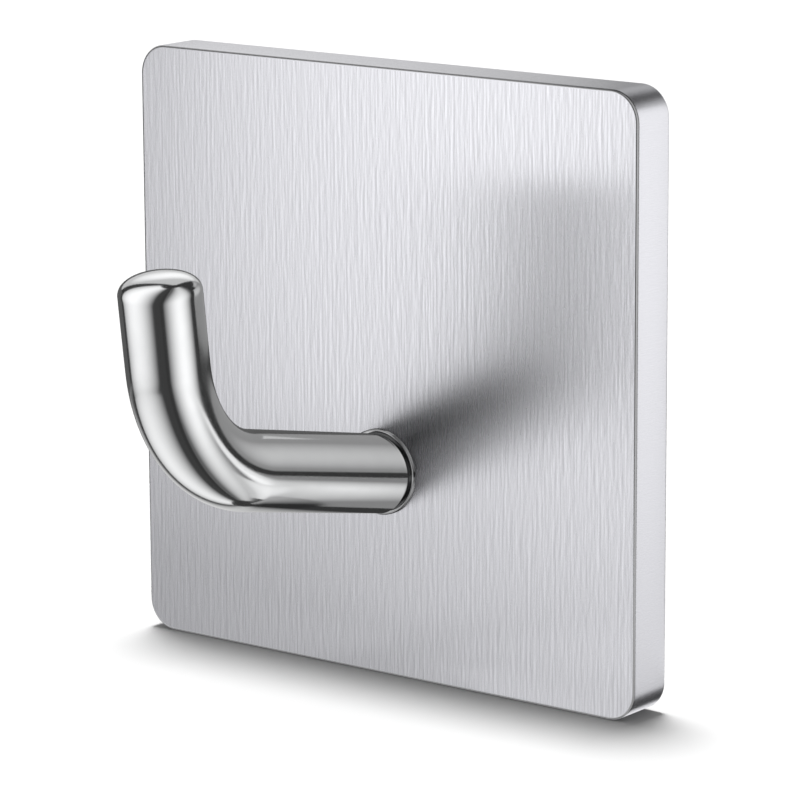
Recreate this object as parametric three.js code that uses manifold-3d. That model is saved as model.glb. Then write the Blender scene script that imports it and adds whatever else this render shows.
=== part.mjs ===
// Self-adhesive wall hook. A pressed square plate carries a bent round bar, which one screw holds from
// behind. A backing plate fills the pressed plate, and a foam pad sticks the whole to the wall.
// Millimetres. The wall is the plane y = 0, +Z is up, and the hook reaches out along -Y.

import * as THREE from 'three';
import { mergeVertices } from 'three/addons/utils/BufferGeometryUtils.js';
import Module from 'manifold-3d';

const wasm = await Module();
wasm.setup();

// Face plate
const PLATE_SIDE = 46;
const SHEET = 0.8;
const CORNER_RADIUS = 2.3;
const FRONT_EDGE_RADIUS = 0.35;

// Hook bar: a straight arm that rises from the plate, one bend, a short straight upright and a domed tip
const ROD_DIAMETER = 6;
const HOOK_DROP = 7.4;
const ARM_RISE = THREE.MathUtils.degToRad(11.5);
const ARM_LENGTH = 15.3;
const BEND_RADIUS = 10.4;
const BEND_ANGLE = THREE.MathUtils.degToRad(71.3);
const UPRIGHT_LENGTH = 5.4;
const TIP_DOME = 1.5;
const DOME_FULLNESS = 2.3;

// Collar between the bar and the plate
const COLLAR_LIP = 0.25;
const COLLAR_THICKNESS = 0.8;
const COLLAR_EDGE_RADIUS = 0.25;

// Screw and its split washer
const SCREW_DIAMETER = 3;
const SCREW_ENGAGEMENT = 3.4;
const SCREW_POINT_CHAMFER = 0.4;
const HEAD_DIAMETER = 5.8;
const HEAD_HEIGHT = 1.2;
const HEAD_EDGE_RADIUS = 0.4;
const RECESS_LENGTH = 3.2;
const RECESS_WIDTH = 0.7;
const RECESS_DEPTH = 0.7;
const WASHER_DIAMETER = 6.2;
const WASHER_THICKNESS = 0.7;
const WASHER_SLIT = 0.5;

// Backing plate and pad
const SEAT_FLOOR = 0.5;
const PAD_THICKNESS = 1;
const PAD_PROUD = 0.3;
const PAD_INSET = 0.9;
const PAD_CORNER_RADIUS = 2;

// Clearances
const SCREW_CLEARANCE = 0.2;
const THREAD_CLEARANCE = 0.15;
const THREAD_END_CLEARANCE = 0.3;
const HEAD_CLEARANCE = 0.1;
const POCKET_CLEARANCE = 0.3;
const BACKING_CLEARANCE = 0.3;

// How finely round forms are cut into facets, and how far a cutting tool runs past what it cuts
const ROUND_SIDES = 40;
const BEND_STEPS = 48;
const ARC_STEPS = 4;
const EDGE_STEPS = 3;
const DOME_STEPS = 8;
const SMALLEST_RADIUS = 0.05;
const OVERRUN = 1;

// Planes across the stack, from the wall out to the bar's root
const padFront = -PAD_THICKNESS;
const rimBack = -PAD_PROUD;
const backingThickness = SEAT_FLOOR + WASHER_THICKNESS + HEAD_HEIGHT + HEAD_CLEARANCE;
const sheetInside = padFront - backingThickness;
const plateFront = sheetInside - SHEET;
const collarFront = plateFront - COLLAR_THICKNESS;
const washerFront = sheetInside + SEAT_FLOOR;
const headFront = washerFront + WASHER_THICKNESS;
const headBack = headFront + HEAD_HEIGHT;
const screwPoint = collarFront - SCREW_ENGAGEMENT;

// Sizes across the plate, each set by the piece outside it
const cavitySide = PLATE_SIDE - 2 * SHEET;
const cavityCornerRadius = Math.max(CORNER_RADIUS - SHEET, SMALLEST_RADIUS);
const backingSide = cavitySide - 2 * BACKING_CLEARANCE;
const backingCornerRadius = Math.max(cavityCornerRadius - BACKING_CLEARANCE, SMALLEST_RADIUS);
const padSide = backingSide - 2 * PAD_INSET;
const rodRadius = ROD_DIAMETER / 2;
const collarRadius = rodRadius + COLLAR_LIP;
const screwRadius = SCREW_DIAMETER / 2;
const screwHoleRadius = screwRadius + SCREW_CLEARANCE;
const pocketRadius = Math.max(WASHER_DIAMETER, HEAD_DIAMETER) / 2 + POCKET_CLEARANCE;

// Materials
const brushedStainless = new THREE.MeshStandardMaterial({ color: 0xc8cacd, roughness: 0.35, metalness: 1 });
const polishedStainless = new THREE.MeshStandardMaterial({ color: 0xd9dbdd, roughness: 0.08, metalness: 1 });
const zincPlatedSteel = new THREE.MeshStandardMaterial({ color: 0xb4b8bc, roughness: 0.3, metalness: 1 });
const corePlastic = new THREE.MeshStandardMaterial({ color: 0x2b2c2e, roughness: 0.6, metalness: 0 });
const foamTape = new THREE.MeshStandardMaterial({ color: 0x8d9093, roughness: 0.9, metalness: 0 });

// A closed solid for joining and cutting, from a geometry's welded corners. Triangles that the welding
// closed to a line, as at a revolved form's poles, are left out.
function solid(geometry) {
  const bare = geometry.clone();
  bare.deleteAttribute('normal');
  bare.deleteAttribute('uv');
  const welded = mergeVertices(bare);
  const corners = welded.index.array;
  const triangles = [];
  for (let i = 0; i < corners.length; i += 3) {
    const [a, b, c] = corners.slice(i, i + 3);
    if (a !== b && b !== c && c !== a) triangles.push(a, b, c);
  }
  const vertProperties = new Float32Array(welded.attributes.position.array);
  const triVerts = new Uint32Array(triangles);
  return new wasm.Manifold(new wasm.Mesh({ numProp: 3, vertProperties, triVerts }));
}

// The geometry of a joined or cut solid.
function surface(body) {
  const mesh = body.getMesh();
  const geometry = new THREE.BufferGeometry();
  geometry.setAttribute('position', new THREE.BufferAttribute(mesh.vertProperties, 3));
  geometry.setIndex(new THREE.BufferAttribute(mesh.triVerts, 1));
  geometry.computeVertexNormals();
  return geometry;
}

// A body with each of the tools cut away from it.
function cut(body, ...tools) {
  return tools.reduce((rest, tool) => rest.subtract(solid(tool)), body);
}

// Square outline with round corners, centred, standing in the plane of the plate.
function roundedSquare(side, radius) {
  const centre = side / 2 - radius;
  const outline = new THREE.Shape();
  outline.absarc(centre, centre, radius, 0, Math.PI / 2);
  outline.absarc(-centre, centre, radius, Math.PI / 2, Math.PI);
  outline.absarc(-centre, -centre, radius, Math.PI, 1.5 * Math.PI);
  outline.absarc(centre, -centre, radius, 1.5 * Math.PI, 2 * Math.PI);
  outline.closePath();
  return outline;
}

// An outline given thickness between two planes across Y, with its front edge rounded if asked. A rounded
// one runs past its back plane by the same rounding, to be trimmed off there.
function slab(outline, back, front, edgeRadius = 0, curveSegments = ARC_STEPS) {
  const geometry = new THREE.ExtrudeGeometry(outline, {
    depth: back - front,
    curveSegments,
    bevelEnabled: edgeRadius > 0,
    bevelThickness: edgeRadius,
    bevelSize: edgeRadius,
    bevelSegments: EDGE_STEPS,
  });
  geometry.rotateX(Math.PI / 2);
  geometry.translate(0, back + edgeRadius, 0);
  return geometry;
}

// A box that takes away everything behind a plane across Y, over a width and height around the origin.
function behind(plane, width, depth) {
  const box = new THREE.BoxGeometry(width, depth, width);
  box.translate(0, plane + depth / 2, 0);
  return box;
}

// A round tool along Y on the screw's axis, between two planes.
function bore(radius, back, front) {
  const tool = new THREE.CylinderGeometry(radius, radius, back - front, ROUND_SIDES);
  tool.translate(0, (back + front) / 2, -HOOK_DROP);
  return tool;
}

// A revolved form on the screw's axis, from a path of radius against Y.
function turned(path) {
  const form = new THREE.LatheGeometry(path.getPoints(EDGE_STEPS), ROUND_SIDES);
  form.translate(0, 0, -HOOK_DROP);
  return form;
}

// Face plate: a block with a rounded front edge, hollowed from behind to leave the sheet's thickness.
function facePlate() {
  const outline = roundedSquare(PLATE_SIDE - 2 * FRONT_EDGE_RADIUS, CORNER_RADIUS - FRONT_EDGE_RADIUS);
  const block = slab(outline, rimBack, plateFront, FRONT_EDGE_RADIUS);
  const trim = behind(rimBack, PLATE_SIDE + OVERRUN, 2 * FRONT_EDGE_RADIUS + OVERRUN);
  const hollow = slab(roundedSquare(cavitySide, cavityCornerRadius), rimBack + OVERRUN, sheetInside);
  const hole = bore(screwHoleRadius, sheetInside + OVERRUN, plateFront - OVERRUN);
  return surface(cut(solid(block), trim, hollow, hole));
}

// Backing plate: a flat core with a pocket from behind for the screw's head and washer.
function backingPlate() {
  const block = slab(roundedSquare(backingSide, backingCornerRadius), padFront, sheetInside);
  const hole = bore(screwHoleRadius, padFront + OVERRUN, sheetInside - OVERRUN);
  const pocket = bore(pocketRadius, padFront + OVERRUN, washerFront);
  return surface(cut(solid(block), hole, pocket));
}

// Pad: foam tape seated on the backing plate and standing a little proud of the rim.
function adhesivePad() {
  return slab(roundedSquare(padSide, PAD_CORNER_RADIUS), 0, padFront);
}

// Collar: a flat ring with a rounded front edge.
function rootCollar() {
  const section = new THREE.Path();
  section.moveTo(screwHoleRadius, collarFront);
  section.lineTo(collarRadius - COLLAR_EDGE_RADIUS, collarFront);
  section.absarc(
    collarRadius - COLLAR_EDGE_RADIUS,
    collarFront + COLLAR_EDGE_RADIUS,
    COLLAR_EDGE_RADIUS,
    -Math.PI / 2,
    0,
  );
  section.lineTo(collarRadius, plateFront);
  section.lineTo(screwHoleRadius, plateFront);
  section.lineTo(screwHoleRadius, collarFront);
  return turned(section);
}

// Screw: shank with a chamfered point, a low head with a rounded edge and a cross recess.
function hookScrew() {
  const headRadius = HEAD_DIAMETER / 2;
  const section = new THREE.Path();
  section.moveTo(0, screwPoint);
  section.lineTo(screwRadius - SCREW_POINT_CHAMFER, screwPoint);
  section.lineTo(screwRadius, screwPoint + SCREW_POINT_CHAMFER);
  section.lineTo(screwRadius, headFront);
  section.lineTo(headRadius, headFront);
  section.absarc(headRadius - HEAD_EDGE_RADIUS, headBack - HEAD_EDGE_RADIUS, HEAD_EDGE_RADIUS, 0, Math.PI / 2);
  section.lineTo(0, headBack);
  const across = new THREE.BoxGeometry(RECESS_LENGTH, 2 * RECESS_DEPTH, RECESS_WIDTH);
  across.translate(0, headBack, -HOOK_DROP);
  const upright = new THREE.BoxGeometry(RECESS_WIDTH, 2 * RECESS_DEPTH, RECESS_LENGTH);
  upright.translate(0, headBack, -HOOK_DROP);
  return surface(cut(solid(turned(section)), across, upright));
}

// Washer: a flat ring, split at the top and pressed flat by the screw's head.
function lockWasher() {
  const outer = WASHER_DIAMETER / 2;
  const halfSlit = WASHER_SLIT / 2;
  const outerStart = Math.PI / 2 + Math.asin(halfSlit / outer);
  const innerStart = Math.PI / 2 + Math.asin(halfSlit / screwHoleRadius);
  const outline = new THREE.Shape();
  outline.absarc(0, 0, outer, outerStart, 3 * Math.PI - outerStart);
  outline.absarc(0, 0, screwHoleRadius, 3 * Math.PI - innerStart, innerStart, true);
  outline.closePath();
  const ring = slab(outline, headFront, washerFront, 0, ROUND_SIDES / 2);
  ring.translate(0, 0, -HOOK_DROP);
  return ring;
}

// The bar's axis by distance from its root: straight along the rise, round the bend, straight again.
class BarAxis extends THREE.Curve {
  constructor(start, end) {
    super();
    this.start = start;
    this.end = end;
  }

  getPoint(t, target = new THREE.Vector3()) {
    const distance = THREE.MathUtils.lerp(this.start, this.end, t);
    const onArm = Math.min(distance, ARM_LENGTH);
    const turnedBy = THREE.MathUtils.clamp((distance - ARM_LENGTH) / BEND_RADIUS, 0, BEND_ANGLE);
    const onUpright = Math.max(distance - ARM_LENGTH - BEND_RADIUS * BEND_ANGLE, 0);
    const slope = ARM_RISE + turnedBy;
    const out = onArm * Math.cos(ARM_RISE)
      + BEND_RADIUS * (Math.sin(slope) - Math.sin(ARM_RISE))
      + onUpright * Math.cos(slope);
    const up = onArm * Math.sin(ARM_RISE)
      + BEND_RADIUS * (Math.cos(ARM_RISE) - Math.cos(slope))
      + onUpright * Math.sin(slope);
    return target.set(0, collarFront - out, up - HOOK_DROP);
  }
}

// Domed end of the bar, with a stub of the bar below it, standing on the end of the upright.
function domedTip(base) {
  const profile = [new THREE.Vector2(0, -OVERRUN), new THREE.Vector2(rodRadius, -OVERRUN)];
  for (let i = 0; i <= DOME_STEPS; i += 1) {
    const angle = (i / DOME_STEPS) * (Math.PI / 2);
    const radius = i < DOME_STEPS ? rodRadius * Math.cos(angle) ** (2 / DOME_FULLNESS) : 0;
    profile.push(new THREE.Vector2(radius, TIP_DOME * Math.sin(angle) ** (2 / DOME_FULLNESS)));
  }
  const dome = new THREE.LatheGeometry(profile, ROUND_SIDES);
  dome.rotateX(Math.PI - (ARM_RISE + BEND_ANGLE));
  dome.translate(base.x, base.y, base.z);
  return dome;
}

// Hook bar: a round section along the axis, domed at the tip, cut flat to sit on the collar, and bored
// and tapped square to the plate for the screw.
function hookRod() {
  const section = new THREE.Shape();
  section.absarc(0, 0, rodRadius, 0, 2 * Math.PI);
  const barEnd = ARM_LENGTH + BEND_RADIUS * BEND_ANGLE + UPRIGHT_LENGTH;
  const rootOverrun = rodRadius * Math.tan(ARM_RISE) + OVERRUN;
  const axis = new BarAxis(-rootOverrun, barEnd);
  const bar = new THREE.ExtrudeGeometry(section, {
    steps: BEND_STEPS,
    curveSegments: ROUND_SIDES / 2,
    extrudePath: axis,
  });
  const mitre = behind(collarFront, PLATE_SIDE, 2 * rootOverrun + rodRadius);
  const tapRadius = screwRadius + THREAD_CLEARANCE;
  const tapped = bore(tapRadius, collarFront + OVERRUN, screwPoint - THREAD_END_CLEARANCE);
  const whole = solid(bar).add(solid(domedTip(axis.getPoint(1))));
  return surface(cut(whole, mitre, tapped));
}

// Assembly
const pieces = [
  ['face_plate', facePlate(), brushedStainless],
  ['hook_rod', hookRod(), polishedStainless],
  ['root_collar', rootCollar(), polishedStainless],
  ['hook_screw', hookScrew(), zincPlatedSteel],
  ['lock_washer', lockWasher(), zincPlatedSteel],
  ['backing_plate', backingPlate(), corePlastic],
  ['adhesive_pad', adhesivePad(), foamTape],
];

const wallHook = new THREE.Group();
wallHook.name = 'wall_hook';
for (const [name, geometry, material] of pieces) {
  const mesh = new THREE.Mesh(geometry, material);
  mesh.name = name;
  wallHook.add(mesh);
}

export default wallHook;
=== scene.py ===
"""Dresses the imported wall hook: a brushed plate, a polished bent bar and what holds them to the wall.

Metres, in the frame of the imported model. The wall is the plane y = 0, +Z is up and the hook reaches along -Y.
"""

import logging
import math
from abc import ABC, abstractmethod
from dataclasses import dataclass
from enum import Enum
from typing import ClassVar

import bpy
import numpy as np
from mathutils import Matrix


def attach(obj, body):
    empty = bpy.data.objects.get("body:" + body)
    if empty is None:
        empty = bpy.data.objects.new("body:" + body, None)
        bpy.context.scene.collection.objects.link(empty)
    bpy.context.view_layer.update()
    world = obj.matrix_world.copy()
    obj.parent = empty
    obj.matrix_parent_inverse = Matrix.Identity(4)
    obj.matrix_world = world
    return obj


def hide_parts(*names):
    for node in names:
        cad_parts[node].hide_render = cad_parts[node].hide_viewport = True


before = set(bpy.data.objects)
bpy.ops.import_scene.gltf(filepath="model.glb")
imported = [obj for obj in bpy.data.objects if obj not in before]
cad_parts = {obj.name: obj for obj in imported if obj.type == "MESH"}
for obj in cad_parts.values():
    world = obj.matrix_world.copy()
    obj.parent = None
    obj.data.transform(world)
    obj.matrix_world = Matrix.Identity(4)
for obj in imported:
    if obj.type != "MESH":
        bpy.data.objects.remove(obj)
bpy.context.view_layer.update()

LOG = logging.getLogger("wall_hook")
MM = 0.001
TURN = 2 * math.pi
SMOOTH_BELOW = math.radians(35)
POLE_SIZE = 1e-9
CHART = "chart"
# The point attribute that marks where painted shade darkens an edge.
SHADE_MARK = "edge"

Colour = tuple[float, float, float]
Place = tuple[float, float, float]
Limits = tuple[float, float]
Socket = bpy.types.NodeSocket
Sockets = dict[str, Socket | float]


class Slot(Enum):
    """The record's material slots."""

    BRUSHED = "brushed_stainless"
    POLISHED = "polished_stainless"
    ZINC = "zinc_plated_steel"
    PLASTIC = "core_plastic"
    FOAM = "foam_tape"


# Surfaces on grids


@dataclass(frozen=True)
class Surface:
    """A surface on a grid of points, to be made a mesh.

    Attributes:
        points: Rows by columns by 3. A row whose points fall together is a pole.
        charts: Bands by 2 by columns + 1 by 2, the surface lengths that patterns follow. A band lies between
            a row and the next and has its own lengths along both, so a chart may break at a row.
        looped: Whether each row's last column is followed by its first.
        joined: Whether the last row is followed by the first.
        shaded_rows: The first row of a pressed edge and the first row after it, where the edge attribute is 1.
            These rows get painted shade.
    """

    points: np.ndarray
    charts: np.ndarray
    looped: bool = True
    joined: bool = False
    shaded_rows: tuple[int, int] = (0, 0)

    def mesh(self, name: str) -> bpy.types.Mesh:
        """Makes the mesh: a four-cornered face for each cell of the grid, or a triangle beside a pole.

        A looped surface's faces are all turned round if the volume that they close is negative.

        Args:
            name: The mesh's name.

        Returns:
            The mesh, smooth where faces meet at a small angle, with its UV map and its edge marked for painted
            shade.
        """
        rows, columns = self.points.shape[:2]
        ids = np.arange(rows * columns).reshape(rows, columns)
        pole = np.ptp(self.points, axis=1).max(axis=1) < POLE_SIZE
        ids[pole] = ids[pole, :1]
        used, ids = np.unique(ids, return_inverse=True)
        ids = ids.reshape(rows, columns)
        places = self.points.reshape(-1, 3)[used]

        cells = columns if self.looped else columns - 1
        near = ids if self.joined else ids[:-1]
        far = np.roll(ids, -1, axis=0) if self.joined else ids[1:]
        left, right = np.arange(cells), (np.arange(cells) + 1) % columns
        corners = np.stack([near[:, left], near[:, right], far[:, right], far[:, left]], axis=-1)
        along_near, along_far = self.charts[:, 0], self.charts[:, 1]
        lengths = np.stack(
            [along_near[:, :cells], along_near[:, 1:], along_far[:, 1:], along_far[:, :cells]], axis=2
        )
        a, b, c, d = (places[corners[..., k]] for k in range(4))
        volume = np.sum(a * np.cross(b, c)) + np.sum(a * np.cross(c, d))
        if self.looped and volume < 0:
            corners, lengths = corners[..., ::-1], lengths[..., ::-1, :]

        doubled = np.stack([corners[..., k] == corners[..., (k + 1) % 4] for k in range(4)])
        groups = [(~doubled.any(axis=0), [0, 1, 2, 3])]
        groups += [(doubled[k], [i for i in range(4) if i != k]) for k in range(4)]
        faces = [face for cell, kept in groups for face in corners[cell][:, kept].tolist()]
        chart = np.concatenate([lengths[cell][:, kept].reshape(-1, 2) for cell, kept in groups])

        mesh = bpy.data.meshes.new(name)
        mesh.from_pydata(places.tolist(), [], faces)
        mesh.uv_layers.new(name=CHART).data.foreach_set("uv", chart.astype(np.float32).ravel())
        marked = np.zeros((rows, columns), dtype=np.float32)
        marked[slice(*self.shaded_rows)] = 1.0
        mesh.attributes.new(SHADE_MARK, "FLOAT", "POINT").data.foreach_set("value", marked.ravel()[used])
        mesh.shade_smooth()
        mesh.set_sharp_from_angle(angle=SMOOTH_BELOW)
        return mesh


def unrolled(points: np.ndarray, joined: bool = False) -> np.ndarray:
    """Charts of a looped surface.

    U is the column's share of the longest loop, and V the mean length along the columns.

    Args:
        points: Rows by columns by 3.
        joined: Whether the last row is followed by the first.

    Returns:
        The charts, as Surface holds them.
    """
    loops = np.linalg.norm(np.roll(points, -1, axis=1) - points, axis=2).sum(axis=1)
    steps = np.linalg.norm(np.roll(points, -1, axis=0) - points, axis=2).mean(axis=1)
    ends = np.concatenate([[0.0], np.cumsum(steps)])
    bands = len(points) if joined else len(points) - 1
    across = np.linspace(0.0, loops.max(), points.shape[1] + 1)
    near = np.stack(np.broadcast_arrays(across[None, :], ends[:bands, None]), axis=-1)
    far = np.stack(np.broadcast_arrays(across[None, :], ends[1 : bands + 1, None]), axis=-1)
    return np.stack([near, far], axis=1)


def open_charts(rows: int, columns: int) -> np.ndarray:
    """Charts of an open patch, from -1 to 1 along its columns and its rows."""
    grid = np.stack(np.meshgrid(np.linspace(-1.0, 1.0, columns), np.linspace(-1.0, 1.0, rows)), axis=-1)
    return np.stack([grid[:-1], grid[1:]], axis=1)


@dataclass(frozen=True)
class SquareOutline:
    """A centred square with round corners, in the plane of X and Z."""

    side: float
    radius: float
    side_steps: int = 24
    corner_steps: int = 12

    def points_and_outwards(self) -> tuple[np.ndarray, np.ndarray]:
        """Goes round the outline from the right side's top.

        A corner's arc has its centre at half the side less the radius, and a side runs straight between two
        arcs. The outward direction turns by a quarter along an arc and is constant along a side.

        Returns:
            The points and the outward unit directions, each columns by 2.
        """
        a = np.linspace(0.0, TURN / 4, self.corner_steps + 1)
        arc = np.stack([np.cos(a), np.sin(a)], axis=1)
        centre = self.side / 2 - self.radius
        run = np.linspace(centre, -centre, self.side_steps + 1)[1:-1]
        top = np.stack([run, np.full_like(run, self.side / 2)], axis=1)
        points = np.concatenate([centre + self.radius * arc, top])
        outwards = np.concatenate([arc, np.broadcast_to([0.0, 1.0], top.shape)])
        quarter = np.array([[0.0, 1.0], [-1.0, 0.0]])
        turns = [np.linalg.matrix_power(quarter, k) for k in range(4)]
        return np.concatenate([points @ m for m in turns]), np.concatenate([outwards @ m for m in turns])


def at_depth(flat: np.ndarray, y: np.ndarray | float) -> np.ndarray:
    """Points of the plane of X and Z put at a Y."""
    return np.stack(np.broadcast_arrays(flat[..., 0], y, flat[..., 1]), axis=-1)


def drawn(inner: np.ndarray | float, outer: np.ndarray, shares: np.ndarray, y: float) -> np.ndarray:
    """Rows between an inner and an outer outline at a Y: inner + share * (outer - inner)."""
    return at_depth(inner + shares[:, None, None] * (outer - inner), y)


def carried(outline: np.ndarray, outward: np.ndarray, section: np.ndarray) -> np.ndarray:
    """A section of distance inwards against Y, carried round: outline - distance * outward."""
    return at_depth(outline - section[:, None, :1] * outward, section[:, 1:])


def front_edge(radius: float, steps: int, face: float) -> np.ndarray:
    """A front face's rounded edge: radius * (1 - sin t) inwards, at Y face + radius * (1 - cos t)."""
    t = np.linspace(0.0, TURN / 4, steps + 1)
    return np.stack([radius * (1 - np.sin(t)), face + radius * (1 - np.cos(t))], axis=1)


def back_edge(radius: float, steps: int, face: float) -> np.ndarray:
    """A back face's rounded edge: radius * (1 - cos t) inwards, at Y face - radius * (1 - sin t)."""
    t = np.linspace(0.0, TURN / 4, steps + 1)
    return np.stack([radius * (1 - np.cos(t)), face - radius * (1 - np.sin(t))], axis=1)


# Node trees


class NodeBoard:
    """Adds nodes to one tree and joins them."""

    spacing: ClassVar[int] = 220

    def __init__(self, tree: bpy.types.NodeTree) -> None:
        """Starts with the tree emptied."""
        self.tree = tree
        tree.nodes.clear()

    def add(self, kind: str, sockets: dict | None = None, **settings: object) -> bpy.types.Node:
        """Adds a node.

        Args:
            kind: The node's type, which gets the prefix ShaderNode unless it is a group's end.
            sockets: For each input's name or number, the output joined to it or the value it is set to.
            settings: The node's own properties, set first.

        Returns:
            The node.
        """
        node = self.tree.nodes.new(kind if kind.startswith("NodeGroup") else f"ShaderNode{kind}")
        node.location = (self.spacing * len(self.tree.nodes), 0)
        for key, value in settings.items():
            setattr(node, key, value)
        for key, value in (sockets or {}).items():
            if isinstance(value, Socket):
                self.tree.links.new(value, node.inputs[key])
            else:
                node.inputs[key].default_value = value
        return node

    def effect(self, effect: "Effect", place: Socket, **numbers: float) -> Socket:
        """Places a shared effect and returns its one output."""
        return self.add("Group", {"Vector": place, **numbers}, node_tree=effect.tree()).outputs[0]

    def brush_lines(self, lines: float, strokes: float) -> Socket:
        """Brush lines along the piece, by how many lines and strokes there are to a metre."""
        return self.effect(Effect.BRUSH_LINES, self.chart(), Across=lines, Along=strokes)

    def film(self) -> Socket:
        """The film that handling leaves on the object."""
        return self.effect(Effect.HANDLING_FILM, self.place())

    def grain(self, grains: float) -> Socket:
        """A fine grain on the object, by how many grains there are to a metre."""
        return self.effect(Effect.FINE_GRAIN, self.place(), Scale=grains)

    def math(self, operation: str, *values: Socket | float, clamped: bool = False) -> Socket:
        """The result of an operation on up to three numbers."""
        return self.add("Math", dict(enumerate(values)), operation=operation, use_clamp=clamped).outputs[0]

    def vector(self, operation: str, *vectors: Socket | Place) -> Socket:
        """The vector that an operation on up to three vectors gives."""
        return self.add("VectorMath", dict(enumerate(vectors)), operation=operation).outputs[0]

    def noise(self, place: Socket, scale: Socket | float, detail: float) -> Socket:
        """A noise from 0 to 1."""
        return self.add("TexNoise", {"Vector": place, "Scale": scale, "Detail": detail}).outputs["Fac"]

    def remap(self, value: Socket, source: Limits, target: Limits = (0.0, 1.0), **settings: str) -> Socket:
        """A value carried from one pair of limits to another, and held between them."""
        ends = dict(zip(("From Min", "From Max", "To Min", "To Max"), (*source, *target)))
        return self.add("MapRange", {"Value": value, **ends}, **settings).outputs["Result"]

    def spread(self, share: Socket, low: float, high: float) -> Socket:
        """A share from 0 to 1 spread between two limits."""
        return self.remap(share, (0.0, 1.0), (low, high))

    def between(self, share: Socket | float, first: Socket, second: Socket) -> Socket:
        """A number between two, by a share from 0 to 1."""
        return self.add("Mix", {0: share, 2: first, 3: second}, data_type="FLOAT").outputs[0]

    def blend(self, share: Socket, first: Colour | Socket, second: Colour) -> Socket:
        """A colour between two, by a share from 0 to 1."""
        start = first if isinstance(first, Socket) else (*first, 1.0)
        return self.add("Mix", {0: share, 6: start, 7: (*second, 1.0)}, data_type="RGBA").outputs[2]

    def relief(self, height: Socket, strength: float, depth: float) -> Socket:
        """A surface direction from a height."""
        sockets = {"Height": height, "Strength": strength, "Distance": depth}
        return self.add("Bump", sockets).outputs["Normal"]

    def chart(self) -> Socket:
        """The piece's own surface lengths."""
        return self.add("UVMap", uv_map=CHART).outputs["UV"]

    def edge(self) -> Socket:
        """The piece's mark for painted shade on its edge, from 0 to 1."""
        return self.add("Attribute", attribute_name=SHADE_MARK).outputs["Fac"]

    def place(self) -> Socket:
        """The place on the object, in metres."""
        return self.add("TexCoord").outputs["Object"]


def new_material(name: str) -> tuple[bpy.types.Material, NodeBoard]:
    """Makes a material with an empty tree.

    Args:
        name: The material's name.

    Returns:
        The material and its tree's board.
    """
    made = bpy.data.materials.new(name)
    made.use_nodes = True
    return made, NodeBoard(made.node_tree)


# Effects that finishes share


class Effect(Enum):
    """The shared effects. Each is a node group with one output from 0 to 1, built at its first use."""

    BRUSH_LINES = "brush_lines"
    HANDLING_FILM = "handling_film"
    FINE_GRAIN = "fine_grain"

    def tree(self) -> bpy.types.NodeTree:
        """Finds or builds the effect.

        Returns:
            The effect's node group.
        """
        made = bpy.data.node_groups.get(self.value)
        if made is None:
            made = bpy.data.node_groups.new(self.value, "ShaderNodeTree")
            {
                Effect.BRUSH_LINES: wire_brush_lines,
                Effect.HANDLING_FILM: wire_handling_film,
                Effect.FINE_GRAIN: wire_fine_grain,
            }[self](made)
        return made


def open_group(
    tree: bpy.types.NodeTree, numbers: list[str], output: str
) -> tuple[NodeBoard, dict[str, Socket]]:
    """Gives a node group its sockets: a Vector, further numbers, and one output number.

    Args:
        tree: The empty group.
        numbers: The names of the inputs after Vector.
        output: The output's name.

    Returns:
        The group's board, and its inputs by name as seen from inside.
    """
    tree.interface.new_socket("Vector", in_out="INPUT", socket_type="NodeSocketVector")
    for name in numbers:
        tree.interface.new_socket(name, in_out="INPUT", socket_type="NodeSocketFloat")
    tree.interface.new_socket(output, in_out="OUTPUT", socket_type="NodeSocketFloat")
    board = NodeBoard(tree)
    inlet = board.add("NodeGroupInput")
    return board, {name: inlet.outputs[name] for name in ["Vector", *numbers]}


# The second noise of the brush lines has longer strokes, and is read elsewhere in the pattern.
HALF_A_LINE = (0.5, 0.0, 0.0)
LONGER = (1.0, 0.28, 1.0)
ELSEWHERE = (0.0, 0.0, 7.0)
STEEPEST = 0.4


def wire_brush_lines(tree: bpy.types.NodeTree) -> None:
    """Fine lines along V, as light on scratches: the slopes across two noises drawn out along V.

    Args:
        tree: The group to fill. Across and Along are how many lines and short strokes there are to a metre.
    """
    board, given = open_group(tree, ["Across", "Along"], "Lines")
    stretch = board.add("CombineXYZ", {"X": given["Across"], "Y": given["Along"]}).outputs[0]
    short = board.vector("MULTIPLY", given["Vector"], stretch)
    long = board.vector("MULTIPLY_ADD", short, LONGER, ELSEWHERE)
    both = board.math("ADD", slope_across(board, short), slope_across(board, long))
    board.add("NodeGroupOutput", {"Lines": board.remap(both, (-STEEPEST, STEEPEST))})


def slope_across(board: NodeBoard, place: Socket) -> Socket:
    """How much a noise changes in half a line to the side of a place.

    Args:
        board: The board of the brush lines.
        place: The place in the pattern.

    Returns:
        The noise there less the noise beside it.
    """
    beside = board.vector("ADD", place, HALF_A_LINE)
    here, there = (board.noise(spot, scale=1.0, detail=1.0) for spot in (place, beside))
    return board.math("SUBTRACT", here, there)


FILM_PATCHES = 90.0
FILM_SMEARS = 700.0
FILM_LIMITS = (0.1, 0.42)


def wire_handling_film(tree: bpy.types.NodeTree) -> None:
    """The faint uneven film that handling leaves: a broad noise times a finer one.

    Args:
        tree: The group to fill.
    """
    board, given = open_group(tree, [], "Film")
    patches = board.noise(given["Vector"], FILM_PATCHES, detail=2.0)
    smears = board.noise(given["Vector"], FILM_SMEARS, detail=3.0)
    film = board.math("MULTIPLY", patches, smears)
    board.add("NodeGroupOutput", {"Film": board.remap(film, FILM_LIMITS)})


def wire_fine_grain(tree: bpy.types.NodeTree) -> None:
    """Small round grains: half the distance to a cell pattern's nearest point, and half a noise of its size.

    Args:
        tree: The group to fill. Scale is how many grains there are to a metre.
    """
    board, given = open_group(tree, ["Scale"], "Grain")
    cells = board.add("TexVoronoi", {"Vector": given["Vector"], "Scale": given["Scale"]})
    noise = board.noise(given["Vector"], given["Scale"], detail=3.0)
    board.add("NodeGroupOutput", {"Grain": board.between(0.5, cells.outputs["Distance"], noise)})


# Finishes


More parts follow.
